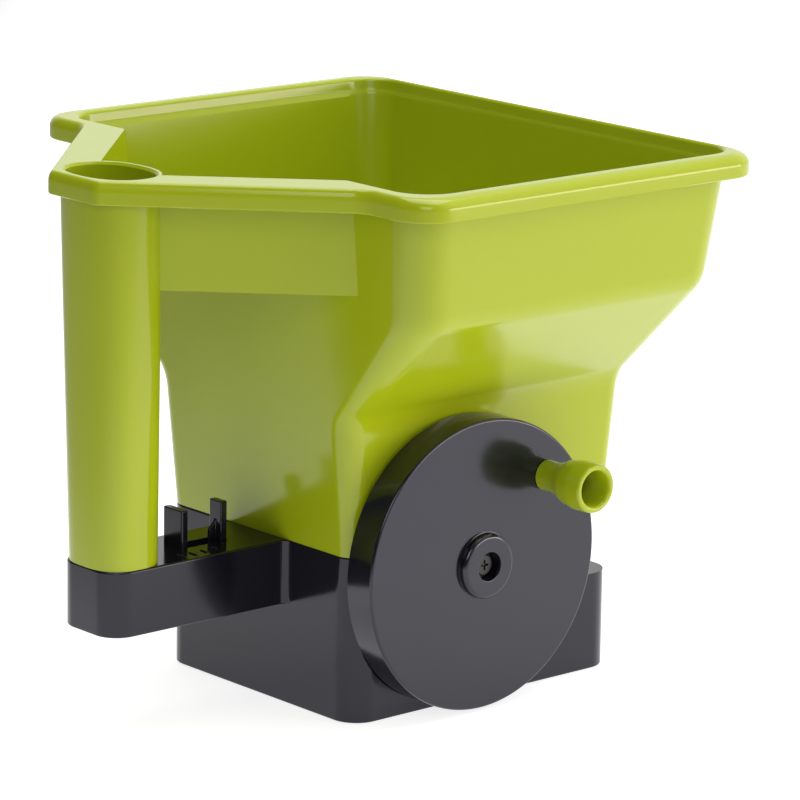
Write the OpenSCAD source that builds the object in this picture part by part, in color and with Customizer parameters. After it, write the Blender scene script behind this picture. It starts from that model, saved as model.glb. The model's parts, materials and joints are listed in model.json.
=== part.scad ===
// Hand-cranked garden spreader. +X is forward (the throw), +Z is up, and the crank is on the -Y side.
// The origin is the centre of the housing's underside.

/* [Housing] */
// Length of the housing along X
base_l = 147.8; // [144:0.2:152]
// Width of the housing along Y
base_w = 125; // [122:0.5:128]
// Height of the housing, to the hopper's underside
base_h = 70.8; // [70:0.2:72]
// Height of the front deck under the spinner
deck_z = 42.6; // [42:0.1:43.5]
// Wall thickness of the housing
base_t = 3; // [2.5:0.1:3.2]
// Reach of the handle arm behind the origin
arm_end = 165; // [164:0.1:168]
// Width of the handle arm
arm_w = 37.2; // [37:0.2:39]

/* [Hopper] */
// Height of the rim above the ground
rim_z = 232.4; // [226:0.2:238]
// Depth of the turned-down rim
rim_depth = 9.6; // [8:0.2:11]
// Front of the rim
rim_front = 93.2; // [92:0.2:96]
// Back of the rim beside the web
rim_back = 96.2; // [95:0.2:98]
// Half width of the rim
rim_half = 126.3; // [125:0.1:129]
// Half width of the hopper wall under the rim
wall_top = 117.8; // [116:0.2:118.4]
// Half width of the hopper above its shoulder
wall_shoulder = 110.9; // [108:0.1:112]
// Half width of the hopper's lower box
wall_low = 61.6; // [61:0.1:62.4]
// Wall thickness of the hopper
wall_t = 2.6; // [2.2:0.1:2.8]

/* [Crank] */
// Radius of the crank disc
disc_r = 62; // [62:0.5:63]
// Depth of the crank disc
disc_depth = 14.8; // [14.6:0.1:15.4]
// Radius of the knob's circle
knob_circle = 47.7; // [46.5:0.1:48.5]
// Length of the knob
knob_l = 30; // [28:0.5:32]
// Number of teeth inside the crank disc
ring_teeth = 74; // [74:1:74]
// Number of teeth on the layshaft pinion
pinion_teeth = 12; // [12:1:12]

/* [Shutter] */
// Travel of the shutter slide
shutter_travel = 14.5; // [10:0.5:14.5]
// Height of the thumb tab above the arm
tab_h = 16.8; // [14:0.2:19]

/* [Hidden] */
$fn = 96;
eps = 0.01;
lime = [0.66, 0.71, 0.15];
lime_dark = [0.55, 0.60, 0.12];
anthracite = [0.2, 0.2, 0.22];
steel = [0.75, 0.76, 0.78];
brass = [0.8, 0.68, 0.4];
white = [0.9, 0.9, 0.88];

// Crank axis, layshaft and spinner places
crank_x = -16.8;
crank_z = 63.2;
side = -base_w / 2;
base_r = 12;
throw_half = -side - 4;
disc_back = side - 1.5;
disc_front = disc_back - disc_depth;
disc_wall = 3;
seat_y = side - 12.9;
gear_m = 1.5;
pressure = 20;
gear_c = (ring_teeth - pinion_teeth) * gear_m / 2;
spin_x = 10.2;
mesh_a = -acos((spin_x - crank_x) / gear_c);
lay_z = crank_z + gear_c * sin(mesh_a);
shaft_r = 3;
run = 0.05;
bush_r = 5;
spinner_r = 42;
chamber_r = 47;
bevel_r = 10;
bevel_teeth = 16;
bevel_face = 4.9;
knob_a = 44.3;
knob_x = crank_x + knob_circle * cos(knob_a);
knob_z = crank_z + knob_circle * sin(knob_a);
outlet_x = -11.8;
outlet_l = 18;
outlet_w = 20;
neck_z = 68.1;
slide_z = 64.9;
slide_t = 3;
slide_half = 13;
stem_half = 5.2;
tab_x = -96.9;
tab_half = 3.8;
plate_t = 3.4;
rib_l = 3.6;
post_x = -119.3;
handle_x = -149.9;
floor_t = 2.5;
cover_t = 3;
ceiling_t = 2.6;
screw_r = 1.6;
rear_screws = [[-54, 30], [-54, -30]];
side_screws = [[-4, 56], [-4, -56]];
guide_points = [for (x = [outlet_x - 12, outlet_x + 10], y = [20, -20]) [x, y]];
cover_points = [for (x = [-61, 61], y = [50, -50]) [x, y]];

// Plane geometry
function unit(v) = v / norm(v);
function turn(v, a) = [v[0] * cos(a) - v[1] * sin(a), v[0] * sin(a) + v[1] * cos(a)];
function mix(a, b, t) = a + (b - a) * t;
// Arc of radius r tangent to the corner a-b-c
function corner(a, b, c, r, n) = let (
    u = unit(a - b), w = unit(c - b), full = acos(u * w), side = sign(cross(b - a, c - b)),
    p = b + u * r / tan(full / 2), m = b + unit(u + w) * r / sin(full / 2))
    [for (i = [0:n]) m + turn(p - m, side * (180 - full) * i / n)];
// Closed outline with each corner rounded
function round_poly(p, r, n = 8) = let (k = len(p))
    [for (i = [0:k - 1]) each corner(p[(i + k - 1) % k], p[i], p[(i + 1) % k], r[i], n)];
// Open path with its inner corners rounded
function round_path(p, r, n) = let (k = len(p))
    [p[0], for (i = [1:k - 2]) each corner(p[i - 1], p[i], p[i + 1], r, n), p[k - 1]];
// Counter-clockwise outline moved inwards by d
function inset(p, d) = let (k = len(p)) [for (i = [0:k - 1]) let (
    e = unit(p[i] - p[(i + k - 1) % k]), f = unit(p[(i + 1) % k] - p[i]),
    m = [-e[1], e[0]], n = [-f[1], f[0]]) p[i] + (m + n) * d / (1 + m * n)];
// Rounded rectangle at height z, as a ring for a loft
function ring(x0, x1, hy, r, z, n = 6) = [for (q = [0:3], i = [0:n]) let (
    a = 90 * (q + i / n), cx = (q == 0 || q == 3) ? x1 - r : x0 + r, cy = q < 2 ? hy - r : r - hy)
    [cx + r * cos(a), cy + r * sin(a), z]];
// Half the angle of an involute tooth at radius r
function tooth_half(r, n, m, play) = let (
    rp = n * m / 2, rb = rp * cos(pressure), al = acos(min(1, rb / r)))
    90 / n - play / rp * 90 / PI + (tan(pressure) - tan(al)) * 180 / PI - pressure + al;
// Outline of an involute gear with its first tooth on +X
function gear(n, m, r0, r1, play, k = 4) = [for (t = [0:n - 1], s = [-1, 1], i = [0:k]) let (
    r = mix(r0, r1, s < 0 ? i / k : 1 - i / k), a = 360 * t / n + s * tooth_half(r, n, m, play))
    [r * cos(a), r * sin(a)]];

// Solid through a list of rings with equal numbers of points
module loft(rings) {
    n = len(rings[0]);
    k = len(rings);
    polyhedron([for (r = rings) each r], concat(
        [[for (i = [0:n - 1]) i]], [[for (i = [0:n - 1]) n * k - 1 - i]],
        [for (j = [0:k - 2], i = [0:n - 1]) [j * n + i, (j + 1) * n + i, (j + 1) * n + (i + 1) % n]],
        [for (j = [0:k - 2], i = [0:n - 1]) [j * n + i, (j + 1) * n + (i + 1) % n, j * n + (i + 1) % n]]));
}

// Upright block with rounded vertical edges
module block(x0, x1, hy, r, z0, z1) {
    translate([0, 0, z0]) linear_extrude(z1 - z0) union() {
        translate([x0 + r, -hy]) square([x1 - x0 - 2 * r, 2 * hy]);
        translate([x0, r - hy]) square([x1 - x0, 2 * (hy - r)]);
        for (x = [x0 + r, x1 - r], y = [r - hy, hy - r]) translate([x, y]) circle(r);
    }
}

// Tube or rod standing along +Z
module tube(r1, r0, h) {
    difference() {
        cylinder(r = r1, h = h);
        if (r0 > 0) translate([0, 0, -eps]) cylinder(r = r0, h = h + 2 * eps);
    }
}

// Puts children's XY plane at a depth y, with their +Z pointing out towards -Y
module outward(x, y, z) {
    translate([x, y, z]) rotate([90, 0, 0]) children();
}

// Screw with a pan head and a cross recess: head from 0 up, shank down
module screw(head_r, head_h, shank_r, shank_l) {
    difference() {
        union() {
            cylinder(r = head_r, h = head_h);
            translate([0, 0, -shank_l]) cylinder(r = shank_r, h = shank_l + eps);
        }
        for (a = [0, 90]) rotate([0, 0, a])
            translate([-head_r * 0.55, -head_r * 0.13, head_h * 0.4])
                cube([head_r * 1.1, head_r * 0.26, head_h]);
    }
}

// Hopper shape: x of the back and front walls, and the side profile with its shoulder
function back_x(z) = mix(-73.6, -89.3, (z - base_h) / (rim_z - base_h));
function front_x(z) = mix(72.1, 89, (z - base_h) / (rim_z - base_h));
function shell_profile(t, z0, z1) = round_path(
    [[wall_low - 0.5 - t, z0], [wall_low + 0.5 - t, 129 + 0.414 * t],
     [wall_shoulder - t, 176.5 + 0.414 * t], [wall_top - t, z1]], 16 + t, 6);
function shell_rings(t, z0, z1) = [for (p = shell_profile(t, z0, z1))
    ring(back_x(p[1]) + t, front_x(p[1]) - t, p[0], mix(9.5, 17.5, (p[0] - 61) / 57) - t, p[1])];
// Oval section of the hollow handle, squarer at its foot, with its wall taken off by t
function handle_ring(t, z) = let (s = (z - base_h) / (rim_z - base_h), e = 2 / mix(2.7, 2.2, s),
    a = mix(15.4, 17.3, s) - t, b = mix(18.2, 23.4, s) - t)
    [for (i = [0:31]) let (c = cos(11.25 * i), w = sin(11.25 * i))
        [handle_x - 1.3 * s + a * sign(c) * pow(abs(c), e), b * sign(w) * pow(abs(w), e), z]];
web_z = 185.4;
web_floor = 188.4;
web_side = 165;
web_inner = 161;
web_draft = 5;
web_end = -171.2;
// Right half of the rim's outline from the front corner to the web's end: at the skirt, and on top
skirt_half = [[rim_front, rim_half], [-rim_back, rim_half],
              [-rim_back, 189 - rim_back], [web_end, 186.6 + web_end]];
top_half = [[rim_front - 6.4, rim_half - 6.4], [-rim_back + 3, rim_half - 6.4],
            [-rim_back + 3, 188.5 - rim_back], [web_end + 2.5, 186 + web_end]];
function both(h) = concat([[h[0][0], -h[0][1]]], h, [for (i = [3:-1:1]) [h[i][0], -h[i][1]]]);
function both_round(d) = let (r = [17 - d, 17 - d, 12 + d, max(6 - d, 1)])
    [r[0], r[0], r[1], r[2], r[3], r[3], r[2], r[1]];
// Rim outline part of the way (s) from the skirt to the top edge, taken in by d
function rim_outline(s, d) = round_poly(inset(both([for (i = [0:3]) mix(skirt_half[i], top_half[i], s)]), d),
    both_round(d + 4 * s));

// Trough between the web's two 45 degree sides, narrower by web_draft at its floor
module web(side_x, x0, x1, z0, z1) {
    loft([for (v = [[z0, side_x - web_draft], [z1, side_x]])
        [[x1, -v[1] - x1, v[0]], [x1, v[1] + x1, v[0]], [x0, v[1] + x0, v[0]], [x0, -v[1] - x0, v[0]]]]);
}

module rim() {
    difference() {
        loft([for (v = concat([[0, 0.5, rim_depth], [0, 0, rim_depth - 1.2]],
                              [for (i = [0:4]) [1 - cos(22.5 * i), 0, 4.8 * (1 - sin(22.5 * i))]]))
            [for (p = rim_outline(v[0], v[1])) [p[0], p[1], rim_z - v[2]]]]);
        translate([0, 0, rim_z - rim_depth - eps]) linear_extrude(rim_depth - 3.9)
            polygon(rim_outline(0, 2.2));
    }
}

module hopper() {
    color(lime) difference() {
        union() {
            difference() {
                union() {
                    loft(shell_rings(0, base_h, rim_z - 1.2));
                    rim();
                    web(web_side, -148.5, -78, web_z, rim_z - 1);
                    loft([handle_ring(0, base_h), handle_ring(0, rim_z - 1.4)]);
                }
                loft(shell_rings(wall_t, base_h + floor_t, rim_z + 1));
                // Soft step inside the mouth
                loft([for (v = [[wall_t + 0.2, 7], [wall_t - 0.9, 5.4], [wall_t - 0.9, -1]])
                    let (z = rim_z - v[1], hy = mix(wall_shoulder, wall_top, (z - 176.5) / 55.9))
                    ring(back_x(z) + v[0], front_x(z) - v[0], hy - v[0], 17.5 - v[0], z)]);
                difference() {
                    web(web_inner, -141.5, -70, web_floor, rim_z + 1);
                    loft([handle_ring(0, base_h), handle_ring(0, rim_z + 2)]);
                }
                loft([handle_ring(2, base_h + 3), handle_ring(2, rim_z + 1)]);
            }
            // Outlet neck, screw bosses and the handle's boss
            translate([outlet_x - outlet_l / 2 - 2, -outlet_w / 2 - 2, neck_z])
                cube([outlet_l + 4, outlet_w + 4, base_h - neck_z + 1]);
            for (p = concat(rear_screws, side_screws))
                translate([p[0], p[1], base_h + 1]) cylinder(r = 4.5, h = 8.5);
            for (p = guide_points) translate([p[0], p[1], base_h + 1]) cylinder(r = 3.5, h = 3.4);
            translate([handle_x, 0, base_h + 1]) cylinder(r = 5.5, h = 10.5);
        }
        translate([outlet_x - outlet_l / 2, -outlet_w / 2, neck_z - 1])
            cube([outlet_l, outlet_w, 8]);
        translate([spin_x, 0, base_h - 1]) cylinder(r = 4, h = 6);
        for (p = concat(rear_screws, side_screws, [[handle_x, 0]]))
            translate([p[0], p[1], base_h - 1]) cylinder(r = screw_r, h = 9);
        for (p = guide_points) translate([p[0], p[1], base_h - 1]) cylinder(r = 1.1, h = 5);
    }
}

// Plan of the throw chamber: round behind the spinner and open to the front and the sides
module chamber(r, z0, z1) {
    translate([0, 0, z0]) linear_extrude(z1 - z0) union() {
        translate([spin_x, 0]) circle(r);
        translate([spin_x, r - chamber_r - throw_half]) square([80, 2 * (throw_half + chamber_r - r)]);
    }
}

module base_housing() {
    ceiling = base_h - ceiling_t;
    half = base_w / 2;
    inner_half = half - base_t;
    inner_end = base_l / 2 - base_t;
    color(anthracite) difference() {
        union() {
            difference() {
                union() {
                    block(-base_l / 2, base_l / 2, half, base_r, 0, base_h);
                    block(-arm_end, 0, arm_w / 2, 11, 43.1, base_h);
                }
                chamber(chamber_r, deck_z, base_h + 1);
                translate([46, -half - 1, deck_z]) cube([40, base_w + 2, 40]);
                translate([20, 0, deck_z]) cube([60, half + 1, 40]);
                block(-inner_end, inner_end, inner_half, base_r - base_t, -1, deck_z - base_t);
                difference() {
                    block(-inner_end, spin_x - 4, inner_half, base_r - base_t, deck_z - base_t - 1, ceiling);
                    chamber(chamber_r + base_t, deck_z - base_t, base_h + 1);
                }
                block(-arm_end + 2.5, 0, arm_w / 2 - 2.5, 8.5, 42, ceiling);
            }
            // Wall between the arm and the housing, deck over the front and chamber wall
            translate([-base_l / 2, -half + base_r, 0]) cube([base_t, base_w - 2 * base_r, base_h]);
            difference() {
                block(-40, inner_end + 1, inner_half + 1, base_r - base_t, deck_z - base_t, deck_z);
                translate([-60, -half, 0]) cube([60 + spin_x - chamber_r - base_t, base_w, 60]);
            }
            intersection() {
                difference() {
                    chamber(chamber_r + base_t, deck_z - base_t, base_h);
                    chamber(chamber_r, deck_z - base_t - 1, base_h + 1);
                }
                translate([-40, -inner_half - 1, 0]) cube([40, 2 * inner_half + 2, base_h]);
            }
            // Crank boss, layshaft rib, screw posts, stem hooks, finger post
            outward(crank_x, side + 13.3, crank_z) cylinder(r = 7.3, h = 12.3);
            translate([spin_x - 9, -22, 16]) cube([18, 3, deck_z - 17]);
            for (p = rear_screws) translate([p[0], p[1], 64]) cylinder(r = 4.5, h = 6);
            for (p = side_screws) translate([p[0], p[1], deck_z - 2])
                cylinder(r = 4.5, h = base_h - deck_z + 2);
            for (p = cover_points) translate([p[0], p[1], cover_t])
                cylinder(r = 4.5, h = (p[0] < 0 ? ceiling : deck_z - base_t) - 2);
            for (x = [-90, -60]) difference() {
                translate([x, -8.4, slide_z - 3.4]) cube([4, 16.8, ceiling - slide_z + 4]);
                translate([x - 1, -stem_half - 0.4, slide_z - 0.4]) cube([6, 2 * stem_half + 0.8, 3.8]);
            }
            translate([post_x, -6.2, base_h - 1]) cube([plate_t, 12.4, tab_h]);
            for (i = [0:3]) translate([tab_x - 10 - 6 * i, -13 - i, base_h - 0.5])
                cube([1.2, 3 + i, 1.1]);
        }
        // Windows for the slide, its tab slot, and the bores
        translate([-base_l / 2 - 1, -stem_half - 0.4, slide_z - 0.4])
            cube([base_t + 2, 2 * stem_half + 0.8, slide_t + 0.5]);
        translate([spin_x - chamber_r - base_t - 1, -slide_half - 0.4, slide_z - 0.4])
            cube([8, 2 * slide_half + 0.8, slide_t + 0.5]);
        translate([tab_x - shutter_travel - rib_l - 0.5, -tab_half - 0.4, ceiling - 1])
            cube([shutter_travel + rib_l + plate_t + 1, 2 * tab_half + 0.8, 5]);
        outward(crank_x, side + 14.3, crank_z) cylinder(r = screw_r, h = 20);
        outward(crank_x, side + 6, crank_z) cylinder(r = 4, h = 10);
        outward(spin_x, side + 7.3, lay_z) cylinder(r = bush_r, h = 10);
        outward(spin_x, -18, lay_z) cylinder(r = bush_r, h = 5);
        translate([spin_x, 0, deck_z - base_t - 1]) cylinder(r = bush_r, h = 5);
        for (p = rear_screws) translate([p[0], p[1], 60]) {
            cylinder(r = 3.4, h = ceiling - 60);
            cylinder(r = screw_r, h = 12);
        }
        for (p = side_screws) translate([p[0], p[1], deck_z - base_t - 1]) {
            cylinder(r = 3.4, h = 65.5 - deck_z + base_t + 1);
            cylinder(r = screw_r, h = 40);
        }
        translate([handle_x, 0, 60]) cylinder(r = screw_r, h = 12);
        for (p = cover_points) translate([p[0], p[1], 2]) cylinder(r = 1.3, h = 11);
    }
}

module base_cover() {
    color(anthracite) difference() {
        union() {
            block(-base_l / 2 + base_t + 0.2, base_l / 2 - base_t - 0.2, base_w / 2 - base_t - 0.2,
                base_r - base_t, 0, cover_t);
            translate([spin_x, 0, 1]) cylinder(r = 8, h = 12);
        }
        translate([spin_x, 0, 6]) cylinder(r = bush_r, h = 8);
        for (p = cover_points) translate([p[0], p[1], -1]) {
            cylinder(r = 1.3, h = 6);
            cylinder(r = 3.5, h = 3);
        }
    }
}

module crank_disc() {
    color([0.33, 0.33, 0.36]) difference() {
        union() {
            outward(crank_x, disc_back, crank_z) difference() {
                cylinder(r = disc_r, h = disc_depth);
                translate([0, 0, -1]) cylinder(r = disc_r - 2.5, h = disc_depth - disc_wall + 1);
            }
            // Internal gear, with a tooth space facing the pinion
            outward(crank_x, disc_back - 1.2, crank_z) rotate([0, 0, mesh_a])
                linear_extrude(disc_depth - disc_wall - 1) difference() {
                    circle(disc_r - 2);
                    polygon(gear(ring_teeth, gear_m, gear_c + 7.7, gear_c + 10.9, -0.15));
                }
            outward(crank_x, disc_back, crank_z) cylinder(r = 8, h = disc_depth);
            outward(crank_x, disc_front + 1, crank_z) cylinder(r = 13.9, h = 2.4);
            outward(crank_x, disc_front - 1.3, crank_z) cylinder(r1 = 13.9, r2 = 12.2, h = 2.1);
            outward(knob_x, disc_front + 6.4, knob_z) cylinder(r = 5, h = 5);
            for (a = [0:60:300]) outward(crank_x, disc_front + 6.2, crank_z) rotate([0, 0, a + 15])
                translate([7, -0.9, 0]) cube([disc_r - 14, 1.8, 4]);
        }
        outward(crank_x, disc_back + 1, crank_z) cylinder(r = 4 + run, h = 40);
        outward(crank_x, seat_y, crank_z) cylinder(r = 6.1, h = 12);
        outward(knob_x, disc_front + 7, knob_z) cylinder(r = screw_r, h = 10);
    }
}

module crank_sleeve() {
    color(steel) outward(crank_x, side + 6, crank_z) tube(4, 2.1, side + 6.3 - seat_y);
}

module crank_washer() {
    color(steel) outward(crank_x, seat_y - 0.3, crank_z) tube(5.7, 2.1, 1.1);
}

module crank_screw() {
    color(steel) outward(crank_x, seat_y - 1.4, crank_z) screw(4, 2, screw_r, 26.8);
}

// Outside and recess of the knob, as radii against height
module crank_knob() {
    neck = [[knob_l * 0.26, 6.6], [knob_l * 0.5, 9.6], [knob_l * 0.72, 10.6], [knob_l - 1.6, 10.4]];
    color(lime) outward(knob_x, disc_front - 0.3, knob_z) rotate_extrude() polygon(concat(
        [[3 + run, 0], [6.6, 0]], round_path([for (p = neck) [p[1], p[0]]], 14, 4),
        [[9.9, knob_l - 0.6], [9, knob_l - 0.3], [8, knob_l - 0.6], [7.5, knob_l - 1.4],
         [6.7, 13.7], [3 + run, 13.7]]));
}

module knob_screw() {
    color(steel) outward(knob_x, disc_front, knob_z) {
        translate([0, 0, 14.2]) screw(5, 2.4, 3, 14.2);
        translate([0, 0, -6]) cylinder(r = screw_r, h = 6 + eps);
    }
}

module layshaft() {
    color(steel) outward(spin_x, -4.6, lay_z) cylinder(r = shaft_r, h = 5.1 - side);
}

module layshaft_pinion() {
    color(white) outward(spin_x, side - 3.2, lay_z) difference() {
        rotate([0, 0, mesh_a]) linear_extrude(6)
            polygon(gear(pinion_teeth, gear_m, 7.3, 10.4, 0.15));
        translate([0, 0, -1]) cylinder(r = shaft_r, h = 8);
    }
}

// Mitre gear with its large end down at z = 0, narrowing towards the shafts' crossing point
module mitre(half_tooth) {
    difference() {
        union() {
            linear_extrude(bevel_face, scale = 1 - bevel_face / bevel_r)
                polygon([for (t = [0:bevel_teeth - 1],
                              p = [[8.8, -1.15], [10.9, -0.5], [10.9, 0.5], [8.8, 1.15]])
                    turn(p, 360 * (t + half_tooth) / bevel_teeth)]);
            translate([0, 0, -3.6]) cylinder(r = 6.5, h = 3.7);
        }
        translate([0, 0, -4]) cylinder(r = shaft_r, h = 12);
    }
}

module layshaft_bevel() {
    color(white) outward(spin_x, -bevel_r, lay_z) rotate([180, 0, 0]) rotate([0, 0, 90]) mitre(0);
}

module spinner_bevel() {
    color(white) translate([spin_x, 0, lay_z + bevel_r]) rotate([180, 0, 0]) rotate([0, 0, 90]) mitre(0.5);
}

module layshaft_bushes() {
    color(brass) {
        outward(spin_x, side + 4.2, lay_z) tube(bush_r + 1.5, shaft_r + run, 1.2);
        outward(spin_x, side + 3, lay_z) tube(bush_r, shaft_r + run, 3);
        outward(spin_x, -17.8, lay_z) tube(bush_r + 1.5, shaft_r + run, 1.2);
        outward(spin_x, -19, lay_z) tube(bush_r, shaft_r + run, 3);
    }
}

module layshaft_clip() {
    color(steel) outward(spin_x, side + 5.5, lay_z) tube(5.5, shaft_r, 0.8);
}

module spinner_shaft() {
    color(steel) translate([spin_x, 0, 6.5]) cylinder(r = shaft_r, h = 79);
}

module spinner_bush_upper() {
    color(brass) translate([spin_x, 0, deck_z - base_t]) {
        tube(bush_r, shaft_r + run, base_t);
        translate([0, 0, base_t]) tube(bush_r + 1.5, shaft_r + run, 1.2);
    }
}

module spinner_bush_lower() {
    color(brass) translate([spin_x, 0, 6]) {
        tube(bush_r, shaft_r + run, 7);
        translate([0, 0, 7]) tube(bush_r + 1.5, shaft_r + run, 1.2);
    }
}

// Throwing disc with curved vanes
module spinner_disc() {
    vane = [for (i = [0:10]) turn([mix(9, spinner_r - 1, i / 10), 0], 22 * pow(i / 10, 2))];
    side = [for (i = [0:10]) turn([0, 0.9], 22 * pow(i / 10, 2) + 4 * i)];
    color(anthracite) translate([spin_x, 0, 0]) difference() {
        union() {
            translate([0, 0, 49.5]) cylinder(r = spinner_r, h = 2);
            translate([0, 0, 44.8]) cylinder(r = 7.5, h = 15.7);
            for (a = [0:60:300]) rotate([0, 0, a]) translate([0, 0, 51]) linear_extrude(9.5)
                polygon(concat([for (i = [0:10]) vane[i] + side[i]],
                    [for (i = [10:-1:0]) vane[i] - side[i]]));
        }
        translate([0, 0, 40]) cylinder(r = shaft_r, h = 30);
    }
}

module spinner_clip() {
    color(steel) translate([spin_x, 0, 83.6]) tube(5.5, shaft_r, 0.8);
}

module agitator() {
    color(lime_dark) translate([spin_x, 0, 75.6]) difference() {
        union() {
            cylinder(r = 6, h = 8);
            for (a = [0, 180]) rotate([0, 0, a]) {
                translate([4, -2, 0]) cube([23, 4, 3.2]);
                translate([25, 0, 0]) cylinder(r = 2, h = 9);
            }
        }
        translate([0, 0, -1]) cylinder(r = shaft_r, h = 12);
    }
}

module hopper_seal() {
    color(white) translate([spin_x, 0, base_h + floor_t]) tube(7.5, shaft_r + run, 2);
}

module shutter_slide() {
    plate_x = outlet_x - 25;
    color(anthracite) {
        translate([plate_x, -slide_half, slide_z]) cube([36, 2 * slide_half, slide_t]);
        translate([tab_x - 2, -stem_half, slide_z]) cube([plate_x - tab_x + 3, 2 * stem_half, slide_t]);
        // Thumb tab with its rib
        translate([tab_x, -tab_half, slide_z + 1])
            cube([plate_t, 2 * tab_half, base_h + tab_h - slide_z - 1]);
        translate([tab_x + 0.5, 0.8, slide_z + 2]) rotate([90, 0, 0]) linear_extrude(1.6)
            polygon([[0, 0], [0, 12.5], [-0.5, 12.5], [-rib_l - 0.5, 8.9], [-rib_l - 0.5, 0]]);
    }
}

// Two rails under the hopper's outlet, joined by a stop at the front
module shutter_guide() {
    rail_x = outlet_x - 20;
    color(anthracite) difference() {
        union() {
            for (s = [-1, 1]) {
                translate([rail_x, s * 15.2 - 1.8, slide_z - 2]) cube([36, 3.6, base_h - slide_z + 2]);
                translate([rail_x, s * 13.6 - 3.2, slide_z - 2]) cube([36, 6.4, 1.6]);
            }
            translate([rail_x + 32.4, -14, slide_z - 2]) cube([3.6, 28, neck_z - slide_z + 2]);
            for (p = guide_points) translate([p[0], p[1], base_h - 2.4]) cylinder(r = 3.6, h = 2.4);
        }
        for (p = guide_points) translate([p[0], p[1], 60]) cylinder(r = 1.1, h = 12);
    }
}

module guide_screws() {
    color(steel) for (p = guide_points) translate([p[0], p[1], base_h - 2.4])
        rotate([180, 0, 0]) screw(2.2, 1.3, 1.1, 6.4);
}

module cover_screws() {
    color(steel) for (p = cover_points) translate([p[0], p[1], 2])
        rotate([180, 0, 0]) screw(3.2, 1.7, 1.3, 11);
}

module hopper_screws() {
    color(steel) {
        for (p = rear_screws) translate([p[0], p[1], base_h - ceiling_t])
            rotate([180, 0, 0]) screw(3.2, 2.2, screw_r, 10);
        for (p = side_screws) translate([p[0], p[1], 65.5])
            rotate([180, 0, 0]) screw(3.2, 2.2, screw_r, 12);
    }
}

module handle_screw() {
    color(steel) translate([handle_x, 0, base_h - ceiling_t])
        rotate([180, 0, 0]) screw(3.8, 2.4, screw_r, 10);
}

hopper();
base_housing();
base_cover();
crank_disc();
crank_sleeve();
crank_washer();
crank_screw();
crank_knob();
knob_screw();
layshaft();
layshaft_pinion();
layshaft_bevel();
layshaft_bushes();
layshaft_clip();
spinner_shaft();
spinner_bevel();
spinner_bush_upper();
spinner_bush_lower();
spinner_disc();
spinner_clip();
agitator();
hopper_seal();
shutter_slide();
shutter_guide();
guide_screws();
cover_screws();
hopper_screws();
handle_screw();
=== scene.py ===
"""Hand-cranked garden spreader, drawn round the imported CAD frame.

Shapes are in millimetres, which MM turns into metres. Lamps, bump depths, the floor's fades and the
camera are in metres.
X runs from the handle (-) to the throw opening (+), the crank is on the -Y side, and Z is up.
"""

import json
import math

import bmesh
import bpy
from mathutils import Matrix, Vector


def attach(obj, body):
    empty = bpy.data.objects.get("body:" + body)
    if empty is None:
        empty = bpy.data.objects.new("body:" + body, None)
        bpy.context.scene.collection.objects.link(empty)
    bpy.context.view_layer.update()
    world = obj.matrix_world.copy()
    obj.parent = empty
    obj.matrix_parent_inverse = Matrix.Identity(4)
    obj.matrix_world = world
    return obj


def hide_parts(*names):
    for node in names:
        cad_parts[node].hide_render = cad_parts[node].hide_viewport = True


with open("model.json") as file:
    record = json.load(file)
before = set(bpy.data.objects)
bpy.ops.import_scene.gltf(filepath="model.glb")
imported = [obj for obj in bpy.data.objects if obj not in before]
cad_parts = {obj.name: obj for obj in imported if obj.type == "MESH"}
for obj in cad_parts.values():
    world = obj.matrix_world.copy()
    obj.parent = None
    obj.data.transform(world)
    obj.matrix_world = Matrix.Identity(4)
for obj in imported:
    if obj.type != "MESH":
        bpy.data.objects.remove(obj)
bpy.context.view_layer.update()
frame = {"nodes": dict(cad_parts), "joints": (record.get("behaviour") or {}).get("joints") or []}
NODES = frame["nodes"]

MM = 0.001
AXES = {joint["name"]: [c / MM for c in joint["pos_m"]] for joint in frame["joints"] if "pos_m" in joint}


# ---------------------------------------------------------------- shader helpers
MIX_FACTOR, MIX_A, MIX_B, MIX_RESULT = 0, 6, 7, 2  # sockets of a colour mix node


def node(tree, kind, inputs=None, **settings):
    """A new shader node with the given settings and input values."""
    made = tree.nodes.new(kind)
    for key, value in settings.items():
        setattr(made, key, value)
    for key, value in (inputs or {}).items():
        made.inputs[key].default_value = value
    return made


def noise(tree, place, scale, detail):
    made = node(tree, "ShaderNodeTexNoise", {"Scale": scale, "Detail": detail})
    tree.links.new(place, made.inputs["Vector"])
    return made.outputs["Fac"]


def remap(tree, value, start, end, low, high, **settings):
    """Brings a value in start..end to low..high."""
    limits = {"From Min": start, "From Max": end, "To Min": low, "To Max": high}
    made = node(tree, "ShaderNodeMapRange", limits, **settings)
    tree.links.new(value, made.inputs["Value"])
    return made.outputs["Result"]


def calculate(tree, operation, first, second):
    made = node(tree, "ShaderNodeMath", operation=operation)
    tree.links.new(first, made.inputs[0])
    tree.links.new(second, made.inputs[1])
    return made.outputs["Value"]


def two_tone(tree, amount, first, second):
    """Colour between first and second."""
    made = node(tree, "ShaderNodeMix", data_type="RGBA")
    made.inputs[MIX_A].default_value = (*first, 1)
    made.inputs[MIX_B].default_value = (*second, 1)
    tree.links.new(amount, made.inputs[MIX_FACTOR])
    return made.outputs[MIX_RESULT]


def bump(tree, height, strength, distance, under=None):
    """Normal roughened by height, on top of the normal under it if there is one."""
    made = node(tree, "ShaderNodeBump", {"Strength": strength, "Distance": distance})
    tree.links.new(height, made.inputs["Height"])
    if under:
        tree.links.new(under, made.inputs["Normal"])
    return made.outputs["Normal"]


def new_material(name):
    mat = bpy.data.materials.new(name)
    mat.use_nodes = True
    return mat, mat.node_tree, mat.node_tree.nodes["Principled BSDF"]


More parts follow.
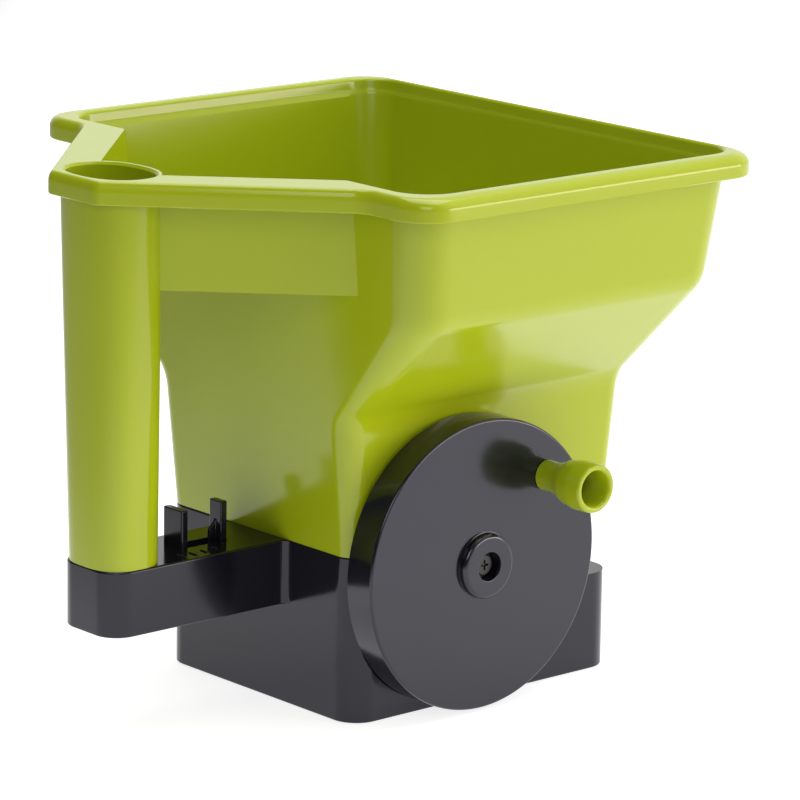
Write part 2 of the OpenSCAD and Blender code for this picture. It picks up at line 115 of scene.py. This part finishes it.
def dress(tree, bsdf, colour, rough, normal):
    """Links what varies over the surface to the shader."""
    tree.links.new(colour, bsdf.inputs["Base Color"])
    tree.links.new(rough, bsdf.inputs["Roughness"])
    tree.links.new(normal, bsdf.inputs["Normal"])


# ---------------------------------------------------------------- materials
GRAIN_DEPTH = 0.0002


def plastic(name, colour, second, rough, grain, grain_scale, wave=0.0, spec=0.5, tint=(1, 1, 1)):
    """Moulded plastic: clouded colour, uneven gloss, fine grain and slow waviness as deep as wave."""
    mat, tree, bsdf = new_material(name)
    place = node(tree, "ShaderNodeTexCoord").outputs["Object"]
    cloud = two_tone(tree, noise(tree, place, 22.0, 5.0), colour, second)
    gloss = remap(tree, noise(tree, place, 60.0, 6.0), 0.3, 0.7, rough * 0.85, rough * 1.2)
    sink = bump(tree, noise(tree, place, 9.0, 1.0), 1.0, wave) if wave else None
    normal = bump(tree, noise(tree, place, grain_scale, 3.0), grain, GRAIN_DEPTH, sink)
    dress(tree, bsdf, cloud, gloss, normal)
    bsdf.inputs["Specular IOR Level"].default_value = spec
    bsdf.inputs["Specular Tint"].default_value = (*tint, 1)
    return mat


def metal(name, colour, rough, grain_scale, stretch):
    """Metal with fine turning marks along one axis and a little tarnish."""
    mat, tree, bsdf = new_material(name)
    bsdf.inputs["Metallic"].default_value = 1.0
    place = node(tree, "ShaderNodeTexCoord").outputs["Object"]
    drawn_out = node(tree, "ShaderNodeMapping", {"Scale": stretch})
    tree.links.new(place, drawn_out.inputs["Vector"])
    marks = noise(tree, drawn_out.outputs["Vector"], grain_scale, 4.0)
    tarnish = two_tone(tree, noise(tree, place, 140.0, 4.0), colour, [c * 0.7 for c in colour])
    gloss = remap(tree, marks, 0.0, 1.0, rough * 0.7, rough * 1.4)
    dress(tree, bsdf, tarnish, gloss, bump(tree, marks, 0.25, GRAIN_DEPTH))
    return mat


COOL = (0.88, 0.88, 1.0)  # tint of the dark plastics' reflections

FINISH = {
    "lime_plastic": plastic("lime_plastic", (0.39, 0.465, 0.008), (0.375, 0.45, 0.007), 0.15, 0.03, 1500,
                            wave=0.0006),
    "dark_plastic": plastic("dark_plastic", (0.008, 0.008, 0.012), (0.006, 0.006, 0.010), 0.13, 0.05, 1700,
                            wave=0.0003, tint=COOL),
    "disc_plastic": plastic("disc_plastic", (0.007, 0.007, 0.012), (0.005, 0.005, 0.010), 0.14, 0.05, 2600,
                            spec=0.68, tint=COOL),
    "gear_plastic": plastic("gear_plastic", (0.8, 0.79, 0.74), (0.74, 0.73, 0.67), 0.38, 0.1, 1400),
    "felt": plastic("felt", (0.7, 0.68, 0.62), (0.6, 0.58, 0.52), 0.9, 1.0, 2200),
    "steel": metal("steel", (0.62, 0.63, 0.65), 0.3, 500, (1.0, 1.0, 12.0)),
    "bronze": metal("bronze", (0.55, 0.4, 0.2), 0.4, 900, (1.0, 1.0, 1.0)),
}
# Near black for the crank's screw and washer: painted shade of the deep recess in the boss where they sit
RECESS_SHADE_STEEL = plastic("recess_shade_steel", (0.02, 0.02, 0.02), (0.012, 0.012, 0.012), 0.3, 0.2, 2600)


# ---------------------------------------------------------------- outlines
def mix(a, b, t):
    return a + (b - a) * t


def circle(radius, steps):
    """Points evenly round the origin."""
    angles = [2 * math.pi * i / steps for i in range(steps)]
    return [(radius * math.cos(a), radius * math.sin(a)) for a in angles]


def arc(centre, radius, start, end, steps):
    """Points of an arc between two angles in degrees, with both ends."""
    angles = [math.radians(mix(start, end, i / steps)) for i in range(steps + 1)]
    return [(centre[0] + radius * math.cos(a), centre[1] + radius * math.sin(a)) for a in angles]


def corner(a, b, c, r, n):
    """Arc of radius r tangent to both sides of the corner a-b-c."""
    a, b, c = Vector(a), Vector(b), Vector(c)
    u, w = (a - b).normalized(), (c - b).normalized()
    full = u.angle(w)
    side = 1 if (b - a).cross(c - b) > 0 else -1
    start = b + u * r / math.tan(full / 2)
    centre = b + (u + w).normalized() * r / math.sin(full / 2)
    turns = [side * (math.pi - full) * i / n for i in range(n + 1)]
    return [centre + Matrix.Rotation(turn, 2) @ (start - centre) for turn in turns]


def round_poly(points, radii, n=14):
    """Closed outline with its corners rounded, one radius each."""
    k = len(points)
    return [q for i in range(k) for q in corner(points[i - 1], points[i], points[(i + 1) % k], radii[i], n)]


def round_path(points, r, n):
    """Open path with its inner corners rounded."""
    inner = [q for a, b, c in zip(points, points[1:], points[2:]) for q in corner(a, b, c, r, n)]
    return [Vector(points[0]), *inner, Vector(points[-1])]


def inset(points, d):
    """Counter-clockwise outline moved inwards by d."""
    out = []
    for i, p in enumerate(points):
        p, a, b = Vector(p), Vector(points[i - 1]), Vector(points[(i + 1) % len(points)])
        e, f = (p - a).normalized(), (b - p).normalized()
        m, n = Vector((-e.y, e.x)), Vector((-f.y, f.x))
        out.append(p + (m + n) * d / (1 + m.dot(n)))
    return out


def ring(x0, x1, hy, r, z, n=14):
    """Rounded rectangle at height z, from x0 to x1 and hy to each side."""
    out = []
    for quarter in range(4):
        cx = x1 - r if quarter in (0, 3) else x0 + r
        cy = hy - r if quarter < 2 else r - hy
        out += [(x, y, z) for x, y in arc((cx, cy), r, 90 * quarter, 90 * (quarter + 1), n)]
    return out


# ---------------------------------------------------------------- solids
def make(name, verts, faces):
    """A mesh object from points in mm."""
    mesh = bpy.data.meshes.new(name)
    mesh.from_pydata([tuple(c * MM for c in v) for v in verts], [], faces)
    mesh.validate()
    bm = bmesh.new()
    bm.from_mesh(mesh)
    bmesh.ops.recalc_face_normals(bm, faces=bm.faces)
    bm.to_mesh(mesh)
    bm.free()
    obj = bpy.data.objects.new(name, mesh)
    bpy.context.scene.collection.objects.link(obj)
    return obj


def loft(name, rings):
    """Closed skin through rings of equal counts, with flat ends."""
    n, k = len(rings[0]), len(rings)
    faces = [tuple(range(n)), tuple(range(n * k - 1, n * (k - 1) - 1, -1))]
    for j in range(k - 1):
        for i in range(n):
            a, b = j * n + i, j * n + (i + 1) % n
            faces.append((a, a + n, b + n, b))
    return make(name, [p for r in rings for p in r], faces)


def lathe(name, profile, place, steps=128):
    """Closed profile of (radius, height) turned about the axis that runs from place towards -Y."""
    x, y, z = place
    rings = [[(x + u, y - h, z + w) for u, w in circle(r, steps)] for r, h in profile]
    faces = []
    for j in range(len(rings)):
        near, far = j * steps, (j + 1) % len(rings) * steps
        for i in range(steps):
            k = (i + 1) % steps
            faces.append((near + i, far + i, far + k, near + k))
    return make(name, [p for r in rings for p in r], faces)


def box(name, x, y, z):
    return loft(name, [[(x[0], y[0], h), (x[1], y[0], h), (x[1], y[1], h), (x[0], y[1], h)] for h in z])


def rod(name, place, radius, height, steps=64):
    """Upright cylinder that stands on place."""
    x, y, z = place
    return loft(name, [[(x + u, y + v, z + h) for u, v in circle(radius, steps)] for h in (0, height)])


def prism(name, outline, z0, z1, r0=0.0, r1=0.0, steps=5):
    """Upright prism on an outline, with its lower and upper edges rounded by r0 and r1."""
    turns = [math.pi / 2 * i / steps for i in range(steps + 1)]
    levels = [(z0 + r0 * (1 - math.cos(a)), r0 * (1 - math.sin(a))) for a in (turns if r0 else [0])]
    levels += [(z1 - r1 * (1 - math.cos(a)), r1 * (1 - math.sin(a))) for a in (turns[::-1] if r1 else [0])]
    return loft(name, [[(p.x, p.y, z) for p in inset(outline, d)] for z, d in levels])


# ---------------------------------------------------------------- changes to a mesh
def bake(obj):
    """Applies every modifier."""
    dg = bpy.context.evaluated_depsgraph_get()
    mesh = bpy.data.meshes.new_from_object(obj.evaluated_get(dg))
    obj.modifiers.clear()
    obj.data = mesh
    return obj


def combine(obj, others, how, solver="MANIFOLD"):
    """Adds, takes away or intersects solids one by one, and removes them afterwards."""
    for other in others:
        m = obj.modifiers.new("combine", "BOOLEAN")
        m.object, m.operation, m.solver = other, how, solver
        bake(obj)
        bpy.data.objects.remove(other)
    return obj


def clean(obj, flat):
    """Merges doubles and joins faces that lie within flat degrees of one plane."""
    bm = bmesh.new()
    bm.from_mesh(obj.data)
    bmesh.ops.remove_doubles(bm, verts=bm.verts, dist=2e-6)
    bmesh.ops.dissolve_limit(bm, angle_limit=math.radians(flat), verts=bm.verts, edges=bm.edges,
                             delimit={"NORMAL"})
    bm.to_mesh(obj.data)
    bm.free()
    return obj


def soften(obj, width, angle, segments):
    """Rounds the edges that are sharper than angle by width in mm."""
    m = obj.modifiers.new("edge", "BEVEL")
    m.width, m.segments, m.limit_method, m.angle_limit = width * MM, segments, "ANGLE", math.radians(angle)
    m.use_clamp_overlap = True
    return bake(obj)


def smooth(obj, angle):
    """Smooth shading up to that angle, with flat faces kept flat."""
    obj.data.polygons.foreach_set("use_smooth", [True] * len(obj.data.polygons))
    obj.data.set_sharp_from_angle(angle=math.radians(angle))
    m = obj.modifiers.new("normals", "WEIGHTED_NORMAL")
    m.keep_sharp, m.weight = True, 60
    return bake(obj)


def copy_of(name, new_name):
    """A copy of a CAD node's mesh, to be shaped further."""
    obj = bpy.data.objects.new(new_name, NODES[name].data.copy())
    bpy.context.scene.collection.objects.link(obj)
    return clean(obj, 0.3)


def finish(obj, body, slot, *nodes):
    """Material, body and the CAD nodes that the piece stands for."""
    obj.data.materials.clear()
    obj.data.materials.append(FINISH[slot])
    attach(obj, body)
    if nodes:
        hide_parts(*nodes)


# ---------------------------------------------------------------- hopper
BASE_H, RIM_Z = 70.8, 232.4  # the hopper's underside and its rim
RIM_DEPTH, RIM_WALL, RIM_ROLL = 9.6, 2.2, 4.8
WALL_T, FLOOR_T = 2.6, 2.5
THROAT_Z, SHOULDER_Z = 129, 176.5  # the slope between them is at about 45 degrees
THROAT_Y, SHOULDER_Y, RIM_Y = 61.6, 110.9, 117.8  # half widths of the bowl
SLOPE_SHIFT = 0.414  # how far a 45 degree bend moves along the wall for each mm of inset
BEND_R = 16
CORNER_LOW, CORNER_HIGH = 9.5, 17.5  # radii where the half width is 61 and 118
HANDLE_X = -149.9
WEB_Y, WEB_Z = 165, 185.4
CHANNEL_Y, CHANNEL_Z = 161, 188.4

# Half of the rim's outline, at the foot of its skirt and on its top
SKIRT = [(93.2, 126.3), (-96.2, 126.3), (-96.2, 92.8), (-171.2, 15.4)]
TOP = [(86.8, 119.9), (-93.2, 119.9), (-93.2, 92.3), (-168.7, 14.8)]

OUTLET_X, OUTLET_Y, NECK_T = (-20.8, -2.8), (-10, 10), 2
SHELL_SCREWS = [(-54, 30), (-54, -30), (-4, 56), (-4, -56)]
GUIDE_SCREWS = [(-23.8, 20), (-23.8, -20), (-1.8, 20), (-1.8, -20)]
HANDLE_SCREW = (HANDLE_X, 0)


def up(z):
    """Height as a share of the way from the underside to the rim."""
    return (z - BASE_H) / (RIM_Z - BASE_H)


def back_x(z):
    return mix(-73.6, -89.3, up(z))


def front_x(z):
    return mix(72.1, 89.0, up(z))


def wall_rings(t, z0, z1, steps=10):
    """Rings of the hopper's wall moved inwards by t, from z0 to z1."""
    shift = SLOPE_SHIFT * t
    path = round_path([(THROAT_Y - 0.5 - t, z0), (THROAT_Y + 0.5 - t, THROAT_Z + shift),
                       (SHOULDER_Y - t, SHOULDER_Z + shift), (RIM_Y - t, z1)], BEND_R + t, steps)
    rings = []
    for y, z in path:
        radius = mix(CORNER_LOW, CORNER_HIGH, (y - 61) / 57)
        rings.append(ring(back_x(z) + t, front_x(z) - t, y, radius - t, z))
    return rings


def handle_ring(t, z, steps=96):
    """The handle's outline at height z, a squared ellipse moved inwards by t."""
    s = up(z)
    power = 2 / mix(2.7, 2.2, s)
    a, b = mix(15.4, 17.3, s) - t, mix(18.2, 23.4, s) - t
    middle = HANDLE_X - 1.3 * s
    return [(middle + a * math.copysign(abs(c) ** power, c), b * math.copysign(abs(w) ** power, w), z)
            for c, w in circle(1, steps)]


def trough(name, side, x0, x1, z0, z1):
    """Solid between the web's two 45 degree sides."""
    return loft(name, [[(x1, -v - x1, z), (x1, v + x1, z), (x0, v + x0, z), (x0, -v - x0, z)]
                       for z, v in ((z0, side - 5), (z1, side))])


def rim_ring(s, d, z):
    """Outline of the rim part of the way (s) from the skirt to the top, moved inwards by d."""
    half = [(mix(a[0], b[0], s), mix(a[1], b[1], s)) for a, b in zip(SKIRT, TOP)]
    whole = [(half[0][0], -half[0][1]), *half, *[(x, -y) for x, y in half[:0:-1]]]
    e = d + 4 * s
    outer, waist, end = 17 - e, 12 + e, max(6 - e, 1)
    radii = [outer, outer, outer, waist, end, end, waist, outer]
    return [(p.x, p.y, z) for p in round_poly(inset(whole, d), radii)]


def build_rim():
    """Rim with a rolled top and a skirt, open underneath."""
    under = RIM_Z - RIM_DEPTH
    rings = [rim_ring(0, 0.6, under), rim_ring(0, 0.15, under + 0.35), rim_ring(0, 0, under + 0.9)]
    for i in range(13):
        a = math.radians(7.5 * i)
        rings.append(rim_ring(1 - math.cos(a), 0, RIM_Z - RIM_ROLL * (1 - math.sin(a))))
    rim = loft("rim", rings)
    hollow = loft("hollow", [rim_ring(0, RIM_WALL, z) for z in (under - 1, RIM_Z - 3.9)])
    return combine(rim, [hollow], "DIFFERENCE")


def mouth_cutter():
    """Cuts the soft step in the bowl's mouth and the rounded lip above it."""
    step, lip_r = WALL_T - 0.9, 1.6
    lip = [(-7.6, WALL_T + 0.1), (-6.6, WALL_T - 0.35), (-5.6, WALL_T - 0.8), (-4.6, step)]
    lip += arc((-lip_r, step - lip_r), lip_r, 90, 15, 5)
    lip.append((0.4, lip[-1][1] - 0.4))
    rings = []
    for above, d in lip:
        z = RIM_Z + above
        hy = mix(SHOULDER_Y, RIM_Y, (z - SHOULDER_Z) / (RIM_Z - SHOULDER_Z))
        rings.append(ring(back_x(z) + d, front_x(z) - d, hy - d, CORNER_HIGH - d, z))
    return loft("mouth", rings)


def web_and_handle_cutters():
    """The trough in the web, which leaves the handle standing, and the handle's bore with its soft edge."""
    channel = trough("channel", CHANNEL_Y, -141.5, -70, CHANNEL_Z, RIM_Z + 1)
    combine(channel, [loft("keep", [handle_ring(0, z) for z in (BASE_H, RIM_Z + 2)])], "DIFFERENCE")
    bore = [(2.0, BASE_H + 3), (2.0, RIM_Z - 1.2), (1.4, RIM_Z - 0.3), (0.7, RIM_Z + 0.4)]
    return [channel, loft("bore", [handle_ring(t, z) for t, z in bore])]


def bosses(places, radius, height):
    return [rod("boss", (*place, BASE_H + 1), radius, height) for place in places]


def holes(places, radius, height):
    return [rod("hole", (*place, BASE_H - 1), radius, height) for place in places]


def fit_floor(body):
    """The outlet's neck, the screw bosses and all the holes in the floor."""
    neck = box("neck", (OUTLET_X[0] - NECK_T, OUTLET_X[1] + NECK_T),
               (OUTLET_Y[0] - NECK_T, OUTLET_Y[1] + NECK_T), (68.1, BASE_H + 1))
    combine(body, [neck, *bosses(SHELL_SCREWS, 4.5, 8.5), *bosses(GUIDE_SCREWS, 3.5, 3.4),
                   *bosses([HANDLE_SCREW], 5.5, 10.5)], "UNION")
    outlet = box("outlet", OUTLET_X, OUTLET_Y, (67.1, 75.1))
    shaft = rod("shaft", (AXES["spinner_turn"][0], 0, BASE_H - 1), 4, 6)
    combine(body, [outlet, shaft, *holes([*SHELL_SCREWS, HANDLE_SCREW], 1.6, 9),
                   *holes(GUIDE_SCREWS, 1.1, 5)], "DIFFERENCE")


def build_hopper():
    rim = build_rim()
    body = loft("hopper_shell", wall_rings(0, BASE_H, RIM_Z - 1.2))
    web = trough("web", WEB_Y, -148.5, -78, WEB_Z, RIM_Z - 1)
    grip = loft("grip", [handle_ring(0, z) for z in (BASE_H, 110, 150, 190, RIM_Z - 1.4)])
    combine(body, [rim, web, grip], "UNION")
    bowl = loft("bowl", wall_rings(WALL_T, BASE_H + FLOOR_T, RIM_Z + 1))
    combine(body, [bowl, mouth_cutter(), *web_and_handle_cutters()], "DIFFERENCE")
    fit_floor(body)
    clean(body, 0.05)
    soften(body, 0.7, 38, 2)
    smooth(body, 32)
    finish(body, "base", "lime_plastic", "hopper")


# ---------------------------------------------------------------- housing
HOUSE_X, HOUSE_Y, HOUSE_CORNER = 73.9, 62.5, 12
ARM_X, ARM_Y, ARM_CORNER, ARM_BOTTOM = -165, 18.6, 11, 43.1
ARM_FILLET = 3.5


def housing_envelope():
    """The housing and its arm as one solid with rounded corners and edges."""
    x, y, arm = HOUSE_X, HOUSE_Y, ARM_Y
    plain = [(x, y), (-x, y), (-x, -y), (x, -y)]
    whole = [*plain[:2], (-x, arm), (ARM_X, arm), (ARM_X, -arm), (-x, -arm), *plain[2:]]
    side = [HOUSE_CORNER, HOUSE_CORNER, ARM_FILLET, ARM_CORNER]
    upper = prism("upper", round_poly(whole, side + side[::-1], 10), ARM_BOTTOM, BASE_H, 0.8, 0.9)
    lower = prism("lower", round_poly(plain, [HOUSE_CORNER] * 4, 10), 0, 60, 0.7)
    return combine(upper, [lower], "UNION")


def arm_fillets():
    """Fillets in the two inner corners where the arm leaves the housing."""
    fillets, x = [], -HOUSE_X
    for s in (-1, 1):
        shape = corner((x - 9, s * ARM_Y), (x, s * ARM_Y), (x, s * (ARM_Y + 9)), ARM_FILLET, 10)
        shape = [Vector((x + 1, s * (ARM_Y - 1)))] + shape
        if s > 0:
            shape.reverse()
        fillets.append(prism("fillet", shape, ARM_BOTTOM + 0.5, BASE_H - 0.35))
    return fillets


def finger_post():
    near, far, half = -115.9, -119.3, 6.2
    outline = round_poly([(near, half), (far, half), (far, -half), (near, -half)], [0.7] * 4, 4)
    return prism("post", outline, BASE_H - 1, BASE_H + 16.8, 0, 0.6, 4)


def flow_marks():
    """Four raised bars beside the shutter's tab, each longer than the one before."""
    bars = []
    for i in range(4):
        x, y = -106.9 - 6 * i, -13 - i
        width, length = 1.2, 3 + i
        outline = [(x + width, y + length), (x, y + length), (x, y), (x + width, y)]
        bars.append(prism("bar", round_poly(outline, [0.4] * 4, 3), BASE_H - 0.5, BASE_H + 0.6, 0, 0.3, 3))
    return bars


def build_housing():
    """The CAD housing trimmed to a rounded envelope, plus its raised details."""
    envelope = housing_envelope()
    obj = combine(copy_of("base_housing", "housing"), [envelope], "INTERSECT", "EXACT")
    combine(obj, [*arm_fillets(), finger_post(), *flow_marks()], "UNION", "EXACT")
    clean(obj, 0.05)
    smooth(obj, 32)
    finish(obj, "base", "dark_plastic", "base_housing")


def build_shutter():
    obj = copy_of("shutter_slide", "shutter")
    soften(obj, 0.5, 40, 3)
    smooth(obj, 40)
    finish(obj, "shutter", "dark_plastic", "shutter_slide")


# ---------------------------------------------------------------- crank
DISC_BACK_Y = -64.0
DISC_R, DISC_DEPTH, DISC_EDGE = 62, 14.8, 1.2
CUP_R, CUP_DEPTH = 59.5, 11.8
BOSS_R, BOSS_TOP, BOSS_EDGE = 13.9, 18.2, 2.1
HUB_R, BORE_R = 8, 4.05
RECESS_R, RECESS_FLOOR = 6.1, 11.4
KNOB_GAP = 0.3


def build_crank():
    x, _, z = AXES["crank_turn"]
    profile = [(DISC_R, 0)]
    profile += arc((DISC_R - DISC_EDGE, DISC_DEPTH - DISC_EDGE), DISC_EDGE, 0, 90, 6)
    profile += [(BOSS_R + 0.4, DISC_DEPTH), (BOSS_R + 0.1, DISC_DEPTH + 0.1), (BOSS_R, DISC_DEPTH + 0.4)]
    profile += arc((BOSS_R - BOSS_EDGE, BOSS_TOP - BOSS_EDGE), BOSS_EDGE, 0, 90, 10)
    profile += [(RECESS_R + 0.5, BOSS_TOP), (RECESS_R + 0.15, BOSS_TOP - 0.1), (RECESS_R, BOSS_TOP - 0.4)]
    profile += [(RECESS_R, RECESS_FLOOR), (BORE_R, RECESS_FLOOR), (BORE_R, 0)]
    profile += [(HUB_R, 0), (HUB_R, CUP_DEPTH), (CUP_R, CUP_DEPTH), (CUP_R, 0)]
    wheel = lathe("crank_wheel", profile, (x, DISC_BACK_Y, z), 256)
    smooth(wheel, 35)
    # The ring gear and the ribs inside the cup are the CAD's own, taken from between the hub and the wall
    inner, outer, depth = HUB_R + 1, CUP_R + 1, 12.6
    section = [(inner, 0), (outer, 0), (outer, depth), (inner, depth)]
    core = lathe("core", section, (x, DISC_BACK_Y + 1.3, z), 256)
    gear = combine(copy_of("crank_disc", "crank_ring_gear"), [core], "INTERSECT")
    smooth(gear, 35)
    finish(wheel, "crank", "disc_plastic", "crank_disc")
    finish(gear, "crank", "disc_plastic")


def build_knob():
    x, _, z = AXES["knob_spin"]
    waist = round_path([(6.6, 7.8), (9.6, 15), (10.6, 21.6), (10.4, 28.4)], 14, 8)
    mouth = [(10.2, 29.2), (9.7, 29.7), (9.1, 29.8), (8.4, 29.7), (7.9, 29.3), (7.6, 28.6), (7.3, 27)]
    bore = [(6.8, 16), (6.7, 13.7), (3.05, 13.7)]
    profile = [(3.05, 0), (6.6, 0), *[(p.x, p.y) for p in waist], *mouth, *bore]
    obj = lathe("knob", profile, (x, DISC_BACK_Y - DISC_DEPTH - KNOB_GAP, z))
    smooth(obj, 35)
    finish(obj, "knob", "lime_plastic", "crank_knob")


# ---------------------------------------------------------------- CAD nodes shown as they are
CAD_SLOTS = {
    "base_cover": "dark_plastic", "spinner_disc": "dark_plastic", "shutter_guide": "dark_plastic",
    "agitator": "lime_plastic", "hopper_seal": "felt",
    "layshaft_pinion": "gear_plastic", "layshaft_bevel": "gear_plastic", "spinner_bevel": "gear_plastic",
    "layshaft_bushes": "bronze", "spinner_bush_upper": "bronze", "spinner_bush_lower": "bronze",
}
# The crank's screw and washer, coloured near black as painted shade of their recess
SHADED_IN_RECESS = ("crank_screw", "crank_washer")


def finish_cad_nodes():
    """The nodes that CAD_SLOTS doesn't name are steel, and the crank's screw and washer are near black as
    painted shade of their recess.
    """
    for name, obj in NODES.items():
        if obj.hide_render:
            continue
        slot = CAD_SLOTS.get(name, "steel")
        obj.data.materials.clear()
        obj.data.materials.append(RECESS_SHADE_STEEL if name in SHADED_IN_RECESS else FINISH[slot])


# ---------------------------------------------------------------- studio
FLOOR_SIZE, FLOOR_Z = 6000, -0.4
CAMERA_AT = (-1.20846, -1.38549, 0.5575)
CAMERA_AZIMUTH, CAMERA_ELEVATION, CAMERA_ROLL = -41.194, 13.499, 0.904
CAMERA_LENS = 199.08


def build_world(scene):
    """White to the camera. To everything else it is bright at +X and dim at -X."""
    scene.world = bpy.data.worlds.new("studio")
    scene.world.use_nodes = True
    tree = scene.world.node_tree
    place = node(tree, "ShaderNodeTexCoord")
    split = node(tree, "ShaderNodeSeparateXYZ")
    tree.links.new(place.outputs["Generated"], split.inputs["Vector"])
    side = remap(tree, split.outputs["X"], -0.3, 0.5, 0.08, 1.0)
    seen = node(tree, "ShaderNodeLightPath").outputs["Is Camera Ray"]
    sky = tree.nodes["Background"]
    tree.links.new(calculate(tree, "MAXIMUM", side, seen), sky.inputs["Strength"])
    sky.inputs["Color"].default_value = (1.0, 1.0, 1.0, 1)


def fade(tree, place, direction, start, full, low, high):
    """Brightness that rises from low to high between two distances along a direction."""
    along = node(tree, "ShaderNodeVectorMath", operation="DOT_PRODUCT")
    along.inputs[1].default_value = direction
    tree.links.new(place, along.inputs[0])
    return remap(tree, along.outputs["Value"], start, full, low, high, interpolation_type="SMOOTHSTEP")


def build_floor():
    """Floor that glows under the object and to its right, and fades to the left and towards the camera."""
    s = FLOOR_SIZE
    corners = [(-s, -s, FLOOR_Z), (s, -s, FLOOR_Z), (s, s, FLOOR_Z), (-s, s, FLOOR_Z)]
    floor = make("floor", corners, [(0, 1, 2, 3)])
    mat, tree, bsdf = new_material("floor")
    bsdf.inputs["Roughness"].default_value = 0.9
    bsdf.inputs["Base Color"].default_value = (0.5, 0.5, 0.5, 1)
    bsdf.inputs["Emission Color"].default_value = (1, 1, 1, 1)
    place = node(tree, "ShaderNodeTexCoord").outputs["Object"]
    across = fade(tree, place, (0.755, -0.656, 0), -0.55, -0.22, 0.02, 1.0)
    away = fade(tree, place, (0.64, 0.73, 0), -0.8, -0.3, 0.05, 0.8)
    tree.links.new(calculate(tree, "MULTIPLY", across, away), bsdf.inputs["Emission Strength"])
    floor.data.materials.append(mat)


def lamp(name, at, width, height, power, colour=(1, 1, 1)):
    """Rectangular lamp that faces the middle of the object."""
    data = bpy.data.lights.new(name, "AREA")
    data.shape, data.size, data.size_y, data.energy = "RECTANGLE", width, height, power
    data.color = colour
    obj = bpy.data.objects.new(name, data)
    bpy.context.scene.collection.objects.link(obj)
    obj.location = at
    obj.rotation_euler = (Vector((0, 0, 0.1)) - Vector(at)).to_track_quat("-Z", "Y").to_euler()


def build_camera(scene):
    cam = bpy.data.cameras.new("camera")
    cam.sensor_width, cam.lens = 36.0, CAMERA_LENS
    cam.clip_start, cam.clip_end = 0.05, 60
    obj = bpy.data.objects.new("camera", cam)
    scene.collection.objects.link(obj)
    azimuth = Matrix.Rotation(math.radians(CAMERA_AZIMUTH), 4, "Z")
    tilt = Matrix.Rotation(math.pi / 2 - math.radians(CAMERA_ELEVATION), 4, "X")
    roll = Matrix.Rotation(math.radians(CAMERA_ROLL), 4, "Z")
    obj.location = CAMERA_AT
    obj.rotation_euler = (azimuth @ tilt @ roll).to_euler()
    scene.camera = obj


def build_studio():
    scene = bpy.context.scene
    scene.view_settings.view_transform = "Standard"
    scene.view_settings.look = "None"
    build_world(scene)
    build_floor()
    lamp("key", (1.2, -1.5, 0.3), 1.4, 0.5, 14, (1.0, 0.86, 0.76))
    lamp("front", (-1.2, -1.4, 1.1), 0.9, 0.9, 7.5, (0.97, 1.0, 0.95))
    lamp("top", (0.1, 0.1, 1.9), 1.7, 1.7, 27)
    build_camera(scene)


build_hopper()
build_housing()
build_shutter()
build_crank()
build_knob()
finish_cad_nodes()
build_studio()
